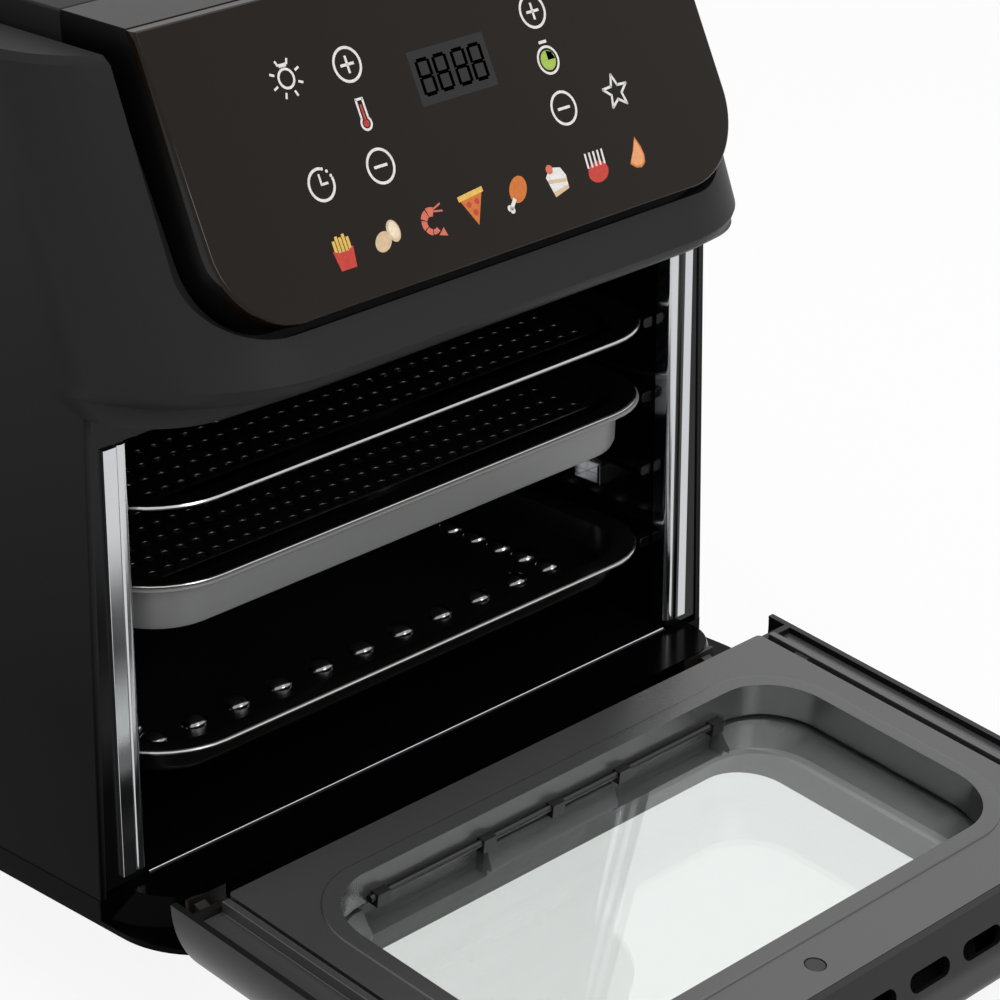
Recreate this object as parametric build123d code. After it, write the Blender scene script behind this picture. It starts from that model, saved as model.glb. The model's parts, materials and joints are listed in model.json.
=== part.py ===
from build123d import *
import math
import os

# Air fryer oven with a drop-down glass door, modelled with the door open.
# X runs to the right of someone who faces the oven, Y to the back, Z up from the floor.
# Depths are first taken from the plane of the mouth (y = 0), then moved by origin_shift.

# Overall body
half_width = 150.0
back_y = 253.0
foot_height = 36.0
foot_x = 92.0
foot_rows = (42.0, 215.0)
body_height = 298.5
corner_radius = 36.0
back_radius = 14.0
side_taper = 0.02
wall = 2.6

# Heights above the underside of the base
base_z = foot_height
seam_z = base_z + 9.4
deck_z = base_z + 11.5
cavity_floor_z = base_z + 12.0
mouth_top_z = base_z + 168.0
hood_z = base_z + 180.0
chamfer_z = base_z + 185.0
nose_z = base_z + 191.5
ceiling_z = base_z + 204.0
glass_foot_z = base_z + 207.6
arm_top_z = base_z + 290.5
top_z = base_z + body_height

# Sloping control panel: the face of the glass starts at glass_foot_z
glass_foot_y = -43.05
panel_slope = 0.4835
panel_angle = math.atan(panel_slope)
glass_half = 119.5
glass_thick = 3.9
glass_radius = 29.0
recess_half = 124.7
recess_foot = -1.5
recess_radius = 30.0
recess_depth = 18.0
recess_skin = 2.4
deck_depth = 14.0
hood_setback = 3.0
hood_edge_y = -30.3
chamfer_y = -41.5
hood_edge_radius = 33.5
nose_radius = 63.0
shoulder_radius = 44.0
shoulder_round = 2.4
strip_back_y = 35.6
cover_back_y = 238.0

# Mouth and cavity
cover_half = 133.0
gland_x = 100.0
liner_half = 130.5
liner_back_y = 228.0
sheet = 1.0
frame_front_y = 1.4
side_front_y = 0.8
strip_inner = 129.3
strip_outer = 140.0
strip_crease = 133.9
strip_foot_z = base_z + 14.6

# Tray runners and trays
runner_depth = 7.0
runner_height = 4.0
runner_tops = [base_z + 48.4 + 29.6 * i for i in range(4)]
tray_half = 128.0
tray_front_y = -3.2
tray_length = 214.0
tray_radius = 32.5
tray_wall_half = 122.5
rim_bead = 2.6

# Door, described closed: depth is measured from its inner face towards the front
hinge_y = -28.5
hinge_z = base_z + 0.4
open_angle = 96.87
face_y = -4.2
door_thick = 38.0
door_wall = 2.5
window_half = 115.0
window_low = 32.0
window_high = 142.3
window_radius = 24.0
bead_height = 0.65
panel_half = 132.5
panel_low = 11.8
panel_high = 172.3
frame_high = 169.4
top_rise = 9.3
top_reach = 25.0
hinge_depth = face_y - hinge_y
hood_gap = 0.7
crest_high = hood_z - hood_gap - hinge_z
crest_depth = (crest_high - panel_high) * top_reach / top_rise
pin_radius = 2.5
arm_radius = 6.0

# Hot air fan
fan_y = 112.0
shaft_radius = 4.0
impeller_radius = 50.0

# The open door reaches this far forward, which sets the middle of the whole length
open_turn = math.radians(open_angle)
crest_reach = crest_high * math.sin(open_turn) - (hinge_depth - crest_depth) * math.cos(open_turn)
front_reach_y = hinge_y - crest_reach
origin_shift = -(back_y + front_reach_y) / 2

nodes = {}


def plan(half, front, back, front_radius, rear_radius):
    """Plan outline with its own radius on the front and on the back corners."""
    w, f, b, r, s = half, front, back, front_radius, rear_radius
    path = Line((-w + r, f), (w - r, f))
    path += CenterArc((w - r, f + r), r, 270, 90)
    path += Line((w, f + r), (w, b - s))
    path += CenterArc((w - s, b - s), s, 0, 90)
    path += Line((w - s, b), (-w + s, b))
    path += CenterArc((-w + s, b - s), s, 90, 90)
    path += Line((-w, b - s), (-w, f + r))
    path += CenterArc((-w + r, f + r), r, 180, 90)
    return make_face(path)


def prism(outline, low, high):
    """Vertical prism between two heights."""
    return extrude(Pos(0, 0, low) * outline, amount=high - low)


def block(x0, x1, y0, y1, z0, z1):
    """Box between two corners."""
    middle = Pos((x0 + x1) / 2, (y0 + y1) / 2, (z0 + z1) / 2)
    return middle * Box(x1 - x0, y1 - y0, z1 - z0)


def mirrored(shape):
    """The same piece on the other side of the middle plane."""
    return mirror(shape, about=Plane.YZ)


def half_at(z):
    """Half width of the body, which narrows a little towards the top."""
    return half_width - side_taper * (z - base_z)


def side_body(inset, front, low, high):
    """Straight sides and rounded back between two heights."""
    return loft([
        Pos(0, 0, z) * plan(half_at(z) - inset, front, back_y - inset, 0.5, back_radius - inset)
        for z in (low, high)
    ], ruled=True)


def hood_face_y(z):
    """Front of the hood below and beside the control glass."""
    return glass_foot_y + hood_setback + panel_slope * (z - glass_foot_z)


def hood_body(inset, low, high):
    """Hood and arms: chamfered lower edge, then a slope whose corners fall away in a wide round."""
    shoulder_z = arm_top_z - shoulder_round
    levels = [
        (hood_z, hood_edge_y, hood_edge_radius, 0),
        (chamfer_z, chamfer_y, nose_radius - 2, 0),
        (nose_z - 3, hood_face_y(nose_z) + 1.4, nose_radius, 0),
        (nose_z, hood_face_y(nose_z), nose_radius, 0),
        (shoulder_z, hood_face_y(shoulder_z), shoulder_radius, 0),
        (arm_top_z, hood_face_y(arm_top_z), shoulder_radius, shoulder_round - 0.6),
    ]
    sections = []
    for z, front, radius, draw in levels:
        edge = inset + draw
        outline = plan(half_at(z) - edge, front + edge, back_y - edge, radius - edge,
                       back_radius - edge)
        sections.append(Pos(0, 0, z) * outline)
    body = loft(sections, ruled=True)
    return body & block(-200, 200, -100, 300, low, high)


panel_plane = Plane(
    origin=(0, glass_foot_y, glass_foot_z),
    x_dir=(1, 0, 0),
    z_dir=(0, -math.cos(panel_angle), math.sin(panel_angle)),
)


def tongue(half, foot, radius, length=150.0):
    """Outline on the sloping panel: straight sides, round lower corners."""
    path = Line((-half, length), (-half, foot + radius))
    path += CenterArc((-half + radius, foot + radius), radius, 180, 90)
    path += Line((-half + radius, foot), (half - radius, foot))
    path += CenterArc((half - radius, foot + radius), radius, 270, 90)
    path += Line((half, foot + radius), (half, length))
    path += Line((half, length), (-half, length))
    return make_face(path)


def on_panel(outline, low, high):
    """Prism square to the panel; heights count outwards from the face of the glass."""
    return extrude(panel_plane * (Pos(0, 0, low) * outline), amount=high - low)


def outer_housing():
    """Sides, hood and arms, with the walled recess that holds the control block."""
    outer = side_body(0, side_front_y, seam_z, hood_z) + hood_body(0, hood_z, arm_top_z)
    inner = side_body(wall, frame_front_y, seam_z - 1, hood_z + wall + 0.5)
    inner += side_body(wall, -10, seam_z - 1, hood_z)
    inner += hood_body(wall, hood_z + wall, arm_top_z - wall)
    shell = outer - inner + rear_ledge()
    shell -= block(-cover_half - 0.2, cover_half + 0.2, back_y - wall, 300, 0, arm_top_z - wall)
    skin = recess_skin
    deck_z_top = top_z - deck_depth
    tub = on_panel(tongue(recess_half + skin, recess_foot - skin, recess_radius + skin),
                   -recess_depth - skin, 20)
    tub += block(-recess_half - skin, recess_half + skin, 10, cover_back_y + 0.5 + skin,
                 deck_z_top - skin, top_z)
    tub &= outer
    recess = on_panel(tongue(recess_half, recess_foot, recess_radius), -recess_depth, 60)
    recess += block(-recess_half, recess_half, -20, cover_back_y + 0.5, deck_z_top, top_z + 30)
    return shell + tub - recess


def rear_ledge():
    """Frame inside the rear opening that takes the screws of the rear panel."""
    low, high = seam_z, arm_top_z - wall
    near = back_y - wall
    ledge = block(-half_width, half_width, near - 2.2, near, low, high)
    ledge &= side_body(1.0, 0, low, high)
    ledge -= block(-118, 118, near - 5, near + 5, low + 12, high - 16)
    for x, z in cover_screw_places():
        ledge -= Pos(x, back_y, z) * Rot(90, 0, 0) * Cylinder(1.8, 20)
    return ledge


def control_frame():
    """Raised black block under the glass, with the flat strip that ends it at the top."""
    floor_z = top_z - deck_depth
    side = glass_half - 0.3
    body = on_panel(tongue(side, 1.3, glass_radius - 0.3, 125.0), -recess_depth, -glass_thick)
    body -= on_panel(Pos(0, 50) * RectangleRounded(212, 82, 8), -recess_depth - 1, -6.4)
    body -= on_panel(Pos(0, 62.5) * Rectangle(45, 18), -10, 0)
    body &= block(-200, 200, -100, 300, 0, floor_z)
    strip = block(-side, side, -30, strip_back_y, floor_z, top_z)
    strip &= on_panel(Rectangle(600, 600), -300, -glass_thick)
    strip -= block(-side + 2.4, side - 2.4, 24, strip_back_y - 2.4, floor_z - 1, top_z - 2.4)
    return body + strip


def control_glass():
    """Raised pane with a softened front edge."""
    pane = on_panel(tongue(glass_half, 1.0, glass_radius, 120.0), -glass_thick, 0)
    pane &= block(-200, 200, -100, 100, 0, top_z - 0.3)
    front = pane.faces().sort_by(Axis(panel_plane.origin, panel_plane.z_dir))[-1]
    return fillet(front.edges(), 1.1)


def display_module():
    """Four digit block, standing on the touch board."""
    return on_panel(Pos(0, 62.5) * Rectangle(44, 17), -8.8, -glass_thick - 0.1)


def touch_board():
    """Board with its chip and plug."""
    board = on_panel(Pos(0, 50) * RectangleRounded(208, 78, 4), -10.4, -8.8)
    board += on_panel(Pos(-60, 40) * Rectangle(14, 14), -12.0, -10.4)
    board += on_panel(Pos(70, 28) * Rectangle(22, 7), -12.9, -10.4)
    return board


def top_cover():
    """Plate between the arms, behind the seam, on a skirt of its own."""
    floor_z = top_z - deck_depth
    front = strip_back_y + 0.6
    plate = block(-glass_half, glass_half, front, cover_back_y, floor_z, top_z)
    plate = fillet(plate.faces().sort_by(Axis.Z)[-1].edges(), 1.0)
    plate -= block(-glass_half + 2.4, glass_half - 2.4, front + 2.4, cover_back_y - 2.4,
                   floor_z - 1, top_z - 2.4)
    return plate


def base_pan():
    """Base: skirt under the sides, flared pedestal in front, ledge round its foot."""
    skirt = prism(plan(half_width, side_front_y, back_y, 0.5, back_radius), base_z, seam_z)
    skirt -= prism(plan(half_width - 3, 8.5, back_y - 3, 4.0, back_radius - 3),
                   base_z + 2.5, seam_z + 1)
    flare = loft([
        Pos(0, 0, base_z + 1.5) * plan(half_width - 2.5, -25.0, 16.0, 30.0, 0.5),
        Pos(0, 0, deck_z) * plan(139.5, -21.8, 16.0, 19.0, 0.5),
    ], ruled=True)
    ledge = prism(plan(half_width, -46.8, 4.0, corner_radius, 0.5), base_z, base_z + 2.0)
    ledge &= block(-200, 200, -33.5, 10, 0, 100)
    base = skirt + flare + ledge
    base -= block(-111, 111, -19, 8.5, base_z + 2.5, deck_z - 2.5)
    base -= block(-133, 133, -60, -21.8, 0, 100)
    base -= block(-132, 132, -0.3, 20, cavity_floor_z - sheet, 200)
    for side in (-1, 1):
        base -= block(side * 122.5 - 9.5, side * 122.5 + 9.5, -60, -20.4, 0, deck_z - 0.5)
        for y in (70, 120, 170):
            base -= block(side * 60 - 25, side * 60 + 25, y - 2, y + 2, 0, base_z + 5)
    return base


def feet():
    """Four tapered feet with a rounded sole."""
    foot = None
    profile = Polyline((0, 0), (9.5, 0), (11.0, 1.5), (13.0, foot_height - 5),
                       (16.0, foot_height), (0, foot_height), (0, 0))
    one = revolve(make_face(Plane.XZ * profile), Axis.Z)
    for x in (-foot_x, foot_x):
        for y in foot_rows:
            placed = Pos(x, y, 0) * one
            foot = placed if foot is None else foot + placed
    return foot


def cavity_liner():
    """Steel cavity, open in front, with four pairs of tray runners."""
    low = cavity_floor_z - sheet
    outer = block(-liner_half - sheet, liner_half + sheet, frame_front_y + 2, liner_back_y + sheet,
                  low, ceiling_z + sheet)
    outer += block(-liner_half + 1.4, liner_half - 1.4, 0, frame_front_y + 2, low, cavity_floor_z)
    inner = block(-liner_half, liner_half, -5, liner_back_y, cavity_floor_z, mouth_top_z)
    inner += block(-liner_half, liner_half, frame_front_y + 2 + sheet, liner_back_y,
                   cavity_floor_z, ceiling_z)
    upright = inner.edges().filter_by(Axis.Z).sort_by(Axis.Y)[-2:]
    inner = fillet(upright, 12)
    liner = outer - inner
    for top in runner_tops:
        rail = block(liner_half - runner_depth, liner_half, 9, liner_back_y - 14,
                     top - runner_height, top)
        rail = fillet(rail.edges().filter_by(Axis.Y).sort_by(Axis.X)[:2], 1.6)
        liner += rail
        liner += mirrored(rail)
    liner -= Pos(0, fan_y, ceiling_z) * Cylinder(9, 10)
    liner -= Pos(60, liner_back_y, base_z + 172) * Rot(90, 0, 0) * Cylinder(2.5, 10)
    liner -= Pos(liner_half, 190, base_z + 160) * Rot(0, 90, 0) * Cylinder(14, 10)
    for reach in (72.0, 56.0):
        y = fan_y + math.sqrt(reach ** 2 - 64.0)
        liner -= Pos(-8, y, ceiling_z) * Cylinder(3.6, 10)
    return liner


def front_frame():
    """Flange round the mouth: two legs and a top bar."""
    low, high = deck_z, hood_z + wall
    frame = block(-half_width, half_width, frame_front_y, frame_front_y + 2, low, high)
    frame &= side_body(wall, -10, low - 1, high + 1)
    frame -= block(-liner_half, liner_half, -5, 10, low - 1, mouth_top_z)
    return frame


def chrome_strip():
    """Bright corner trim: flat face, pressed crease, then a lip rolled into the mouth."""
    roll, lip = 2.6, 0.35
    path = Polyline(
        (strip_inner, lip + roll), (strip_inner, 8.0), (liner_half, 8.0),
        (liner_half, frame_front_y), (strip_outer, frame_front_y), (strip_outer, 0),
        (strip_crease + 0.7, 0), (strip_crease + 0.3, 0.8), (strip_crease - 0.3, 0.8),
        (strip_crease - 0.7, lip), (strip_inner + roll, lip),
    )
    path += CenterArc((strip_inner + roll, lip + roll), roll, 180, 90)
    return prism(make_face(path), strip_foot_z, mouth_top_z - 0.5)


def wall_bracket():
    """Small steel U on the right wall, open upwards."""
    x0 = liner_half - 8.0
    low, high = base_z + 64.0, base_z + 72.5
    body = block(x0, liner_half, 29, 43, low, high)
    body -= block(x0 - 1, liner_half - 1.2, 30.4, 41.6, low + 1.4, high + 1)
    return fillet(body.edges().filter_by(Axis.X).sort_by(Axis.Z)[:2], 1.2)


def heater_coil():
    """Tube element: outer turn, tight end loop, inner turn, two leads up."""
    outer, inner, tube = 72.0, 56.0, 3.2
    z = base_z + 180.0
    start = 90 + math.degrees(math.asin(8.0 / outer))
    finish = 90 + math.degrees(math.asin(8.0 / inner))
    end = start + 270.0
    mid = (outer + inner) / 2
    centre = (mid * math.cos(math.radians(end)), mid * math.sin(math.radians(end)))
    path = CenterArc((0, 0), outer, start, 270)
    path += CenterArc(centre, (outer - inner) / 2, end, 180)
    path += CenterArc((0, 0), inner, end, finish - end)
    wire = Pos(0, fan_y, z) * Wire(path.edges())
    ring = sweep(Plane(wire @ 0, z_dir=wire % 0) * Circle(tube), path=wire)
    for reach in (outer, inner):
        y = fan_y + math.sqrt(reach ** 2 - 64.0)
        ring += Pos(-8, y, z) * Cylinder(tube, ceiling_z + 20 - z,
                                         align=(Align.CENTER, Align.CENTER, Align.MIN))
        ring += Pos(-8, y, z) * Sphere(tube)
    return ring


def fan_guard():
    """Round plate with rings of slots, hung on three posts."""
    z = base_z + 172.5
    plate = Pos(0, fan_y, z) * Cylinder(88, 1.0)
    for ring, count in ((26, 8), (44, 12), (62, 16), (78, 20)):
        step = 360 / count
        span = step - math.degrees(5.0 / ring)
        for i in range(count):
            arc = make_face(
                Line((ring - 4.5, 0), (ring + 4.5, 0))
                + CenterArc((0, 0), ring + 4.5, 0, span)
                + Line(Vector(ring + 4.5, 0).rotate(Axis.Z, span),
                       Vector(ring - 4.5, 0).rotate(Axis.Z, span))
                + CenterArc((0, 0), ring - 4.5, 0, span)
            )
            plate -= Pos(0, fan_y, z - 2) * Rot(0, 0, i * step) * extrude(arc, amount=4)
    for angle in (30, 150, 270):
        x = 85 * math.cos(math.radians(angle))
        y = fan_y + 85 * math.sin(math.radians(angle))
        plate += Pos(x, y, z) * Cylinder(2.2, ceiling_z - z,
                                         align=(Align.CENTER, Align.CENTER, Align.MIN))
    return plate


def fan_impeller():
    """Hot air fan: disc, hub and ten curved blades below the disc."""
    z = base_z + 197.0
    disc = Pos(0, fan_y, z) * Cylinder(impeller_radius, 1.2)
    hub = Pos(0, fan_y, z - 5) * Cylinder(9, 10)
    wheel = disc + hub
    blade_path = ThreePointArc((13, 0), (30, 6), (impeller_radius - 2, 20))
    blade = extrude(make_face(offset(blade_path, 0.6)), amount=-12)
    for i in range(10):
        wheel += Pos(0, fan_y, z) * Rot(0, 0, 36 * i) * blade
    wheel -= Pos(0, fan_y, z) * Cylinder(shaft_radius, 60)
    return wheel


def fan_shaft():
    """Shaft with the nut that holds the impeller."""
    low = base_z + 183.0
    high = base_z + 263.0
    shaft = Pos(0, fan_y, low) * Cylinder(shaft_radius, high - low,
                                          align=(Align.CENTER, Align.CENTER, Align.MIN))
    nut = extrude(RegularPolygon(7, 6), amount=5)
    return shaft + Pos(0, fan_y, base_z + 187.0 - 5.0) * nut


def cooling_fan():
    """Small fan above the motor: hub with seven pitched blades."""
    z = base_z + 257.0
    hub = Pos(0, fan_y, z) * Cylinder(10, 9)
    for i in range(7):
        blade = Rot(28, 0, 0) * Box(34, 13, 1.2)
        hub += Pos(0, fan_y, z) * Rot(0, 0, i * 360 / 7) * (Pos(24, 0, 0) * blade)
    return hub - Pos(0, fan_y, z) * Cylinder(shaft_radius, 40)


def fan_motor():
    """Open frame motor on a foot plate above the ceiling."""
    low = ceiling_z + sheet
    plate = block(-36, 36, fan_y - 36, fan_y + 36, low, low + 2)
    can = Pos(0, fan_y, low + 2) * Cylinder(31, 36, align=(Align.CENTER, Align.CENTER, Align.MIN))
    can = chamfer(can.faces().sort_by(Axis.Z)[-1].edges(), 3)
    boss = Pos(0, fan_y, low + 38) * Cylinder(9, 6, align=(Align.CENTER, Align.CENTER, Align.MIN))
    return plate + can + boss - Pos(0, fan_y, low) * Cylinder(shaft_radius + 0.08, 200)


def lamp_holder():
    """Lamp cup outside the right wall, with its flange."""
    turn = Pos(liner_half + sheet, 190, base_z + 160) * Rot(0, 90, 0)
    up = (Align.CENTER, Align.CENTER, Align.MIN)
    cup = turn * Cylinder(12.5, 11.5, align=up) + turn * Cylinder(17, 1.5, align=up)
    return cup - turn * Cylinder(10.5, 9.5, align=up)


def lamp_lens():
    """Domed glass of the lamp, seated in the wall."""
    place = Pos(liner_half, 190, base_z + 160)
    up = (Align.CENTER, Align.CENTER, Align.MIN)
    dome = place * Rot(0, -90, 0) * Cone(15.5, 11, 4.5, align=up)
    dome = fillet(dome.faces().sort_by(Axis.X)[0].edges(), 2.0)
    return dome + place * Rot(0, 90, 0) * Cylinder(13.8, sheet, align=up)


def thermostat_probe():
    """Sensor rod through the back wall, with its collar."""
    rod = Pos(60, liner_back_y + 8, base_z + 172) * Rot(90, 0, 0) * Cylinder(
        2.2, 46, align=(Align.CENTER, Align.CENTER, Align.MIN))
    collar = Pos(60, liner_back_y + sheet + 3, base_z + 172) * Rot(90, 0, 0) * Cylinder(
        6, 3, align=(Align.CENTER, Align.CENTER, Align.MIN))
    return rod + collar


def power_board():
    """Mains board on four posts, with transformer, relay and capacitor."""
    z = ceiling_z + sheet
    board = block(-128, -48, 40, 150, z + 8, z + 9.6)
    for x in (-122, -54):
        for y in (46, 144):
            board += Pos(x, y, z) * Cylinder(3, 8, align=(Align.CENTER, Align.CENTER, Align.MIN))
    board += block(-120, -86, 60, 90, z + 9.6, z + 36)
    board += block(-78, -58, 64, 80, z + 9.6, z + 26)
    board += Pos(-68, 112, z + 9.6) * Cylinder(
        9, 26, align=(Align.CENTER, Align.CENTER, Align.MIN))
    board += block(-116, -96, 108, 136, z + 9.6, z + 22)
    return board


def back_cover():
    """Rear panel with two fields of vent slots and the hole of the cord gland."""
    low, high = seam_z + 0.2, arm_top_z - wall - 0.2
    half = cover_half
    cover = extrude(
        Plane(origin=(0, back_y, (low + high) / 2), x_dir=(1, 0, 0), z_dir=(0, -1, 0))
        * RectangleRounded(2 * half, high - low, 1.0), amount=wall)
    for row in range(8):
        for x in (-54, 54):
            slot = Plane(origin=(x, back_y + 1, base_z + 220 + 7.5 * row),
                         x_dir=(1, 0, 0), z_dir=(0, -1, 0)) * SlotOverall(78, 3.2)
            cover -= extrude(slot, amount=wall + 3)
    for row in range(4):
        slot = Plane(origin=(0, back_y + 1, base_z + 26 + 7.5 * row),
                     x_dir=(1, 0, 0), z_dir=(0, -1, 0)) * SlotOverall(120, 3.2)
        cover -= extrude(slot, amount=wall + 3)
    cover -= Pos(gland_x, back_y, base_z + 30) * Rot(90, 0, 0) * Cylinder(7.5, 20)
    for x, z in cover_screw_places():
        cover -= Pos(x, back_y, z) * Rot(90, 0, 0) * Cylinder(1.8, 20)
    return cover


def cover_screw_places():
    """Six screws round the rear panel."""
    return [(x, base_z + z) for x in (-126, 126) for z in (18, 146, 276)]


def cover_screws():
    """Pan head screws of the rear panel."""
    group = None
    for x, z in cover_screw_places():
        head = Pos(x, back_y, z) * Rot(90, 0, 0) * Cylinder(
            3.4, 2.2, align=(Align.CENTER, Align.CENTER, Align.MAX))
        head = fillet(head.faces().sort_by(Axis.Y)[-1].edges(), 0.9)
        head += Pos(x, back_y, z) * Rot(90, 0, 0) * Cylinder(
            1.8, 8, align=(Align.CENTER, Align.CENTER, Align.MIN))
        group = head if group is None else group + head
    return group


def cord_gland():
    """Inlet bushing with its flange; its bore stays open."""
    x, z = gland_x, base_z + 30
    flange = Pos(x, back_y, z) * Rot(90, 0, 0) * Cylinder(
        10, 3, align=(Align.CENTER, Align.CENTER, Align.MAX))
    neck = Pos(x, back_y, z) * Rot(90, 0, 0) * Cylinder(
        7.4, 8, align=(Align.CENTER, Align.CENTER, Align.MIN))
    return flange + neck - Pos(x, back_y, z) * Rot(90, 0, 0) * Cylinder(3.6, 40)


def door_sensor():
    """Reed sensor behind the right leg of the frame."""
    y = frame_front_y + 2
    return block(133.5, 142.5, y, y + 7, hinge_z + 140, hinge_z + 158)


def hinge_bracket():
    """Steel plate on the pedestal that carries one hinge pin."""
    x0, x1 = 124.5, 129.0
    side = Plane(origin=(x0, 0, 0), x_dir=(0, 1, 0), z_dir=(1, 0, 0))
    profile = Pos(hinge_y, hinge_z) * Circle(arm_radius)
    profile += make_face(Polyline(
        (hinge_y, hinge_z - arm_radius), (-20.4, hinge_z - arm_radius), (-20.4, deck_z - 2.0),
        (hinge_y - 1.0, hinge_z + arm_radius - 0.1), (hinge_y, hinge_z - arm_radius)))
    plate = extrude(side * profile, amount=x1 - x0)
    plate += block(115.0, 131.5, -22.0, -20.4, hinge_z + 2.0, deck_z - 0.5)
    plate -= Pos(x0, hinge_y, hinge_z) * Rot(0, 90, 0) * Cylinder(pin_radius + 0.06, 40)
    return plate


def hinge_cover():
    """Notched strip on the front of the pedestal, behind the open door."""
    strip = block(-88.5, 88.5, -24.0, -21.8, base_z + 0.5, base_z + 5.9)
    for x in (16.5, 36.3, 56.0):
        for side in (-1, 1):
            strip -= block(side * x - 2.2, side * x + 2.2, -25, -21, base_z + 3.4, base_z + 7)
    return strip


def tray_outline(half):
    """Plan of a tray that stays the same distance inside the rim all round."""
    inset = tray_half - half
    radius = tray_radius - inset
    return plan(half, tray_front_y + inset, tray_front_y + tray_length - inset, radius, radius)


def tray(top, depth, thick, wall_half=tray_wall_half):
    """Pressed tray: rolled rim, flange, wall and floor."""
    body = prism(tray_outline(wall_half), top - depth, top)
    body = fillet(body.faces().sort_by(Axis.Z)[0].edges(), min(3.0, depth / 3))
    hollow = prism(tray_outline(wall_half - thick), top - depth + thick, top + 1)
    hollow = fillet(hollow.faces().sort_by(Axis.Z)[0].edges(), min(2.0, depth / 3 - 0.3))
    flange = prism(tray_outline(tray_half), top - thick, top)
    flange += prism(tray_outline(tray_half), top - rim_bead, top)
    flange -= prism(tray_outline(tray_half - 1.4), top - rim_bead - 1, top - thick)
    return body + flange - hollow


def perforate(body, floor_z, columns=11, rows=9):
    """Holes through the floor of a rack, six-sided because they repeat."""
    hole = extrude(RegularPolygon(3.0, 6), amount=8)
    centre = tray_front_y + tray_length / 2
    holes = []
    for i in range(columns):
        for j in range(rows):
            x = (i - (columns - 1) / 2) * 19.5
            y = centre + (j - (rows - 1) / 2) * 20.0
            holes.append(Pos(x, y, floor_z - 4) * hole)
    return body - holes


def upper_rack():
    """Shallow perforated tray on the top runners."""
    top = runner_tops[3] + rim_bead
    return perforate(tray(top, 7.0, 1.0), top - 7.0)


def middle_top():
    """Height of the rim of the middle pan."""
    return runner_tops[2] + rim_bead


def middle_rack():
    """Perforated insert whose rim lies on the rim of the deep pan."""
    base = middle_top()
    lip = 0.9
    body = prism(tray_outline(tray_wall_half - 1.6), base - 6.0, base + lip)
    body += prism(tray_outline(tray_half - 0.6), base, base + lip)
    body -= prism(tray_outline(tray_wall_half - 2.6), base - 5.0, base + lip + 1)
    return perforate(body, base - 6.0)


def deep_pan():
    """Deep pan under the middle rack."""
    return tray(middle_top(), 20.0, 1.2)


def drip_tray():
    """Low tray with a row of domed bumps along the front and the back."""
    top = runner_tops[0] + rim_bead
    depth = 14.0
    body = tray(top, depth, 1.2)
    floor = top - depth + 1.2
    dome = Sphere(4.0) & block(-5, 5, -5, 5, 2.2, 5)
    for i in range(11):
        x = (i - 5) * 20.0
        for y in (tray_front_y + 22.0, tray_front_y + tray_length - 22.0):
            body += Pos(x, y, floor - 2.4) * dome
    return body


# Door, drawn closed and swung open at the end

def door_slab(half, low, high, radius, near, far):
    """Rounded plate of the door; near and far are depths from its inner face."""
    at = Plane(origin=(0, face_y - near, hinge_z), x_dir=(1, 0, 0), z_dir=(0, -1, 0))
    middle = Pos(0, (low + high) / 2)
    outline = middle * RectangleRounded(2 * half, high - low, radius)
    return extrude(at * outline, amount=far - near)


def door_block(x0, x1, near, far, low, high):
    """Box in door measures."""
    return block(x0, x1, face_y - far, face_y - near, hinge_z + low, hinge_z + high)


def door_profile(points):
    """Solid across the full width from a side outline of (depth, height) points."""
    side = Plane(origin=(-200, 0, 0), x_dir=(0, 1, 0), z_dir=(1, 0, 0))
    outline = Polyline([(face_y - d, hinge_z + h) for d, h in points + points[:1]])
    return extrude(side * make_face(outline), amount=400)


def door_round(inset):
    """Upright prism with the rounded front corners of the door."""
    outline = plan(half_width - inset, face_y - door_thick + inset, face_y + 30,
                   corner_radius - inset, 1.0)
    return prism(outline, hinge_z - 20, hinge_z + 220)


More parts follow.
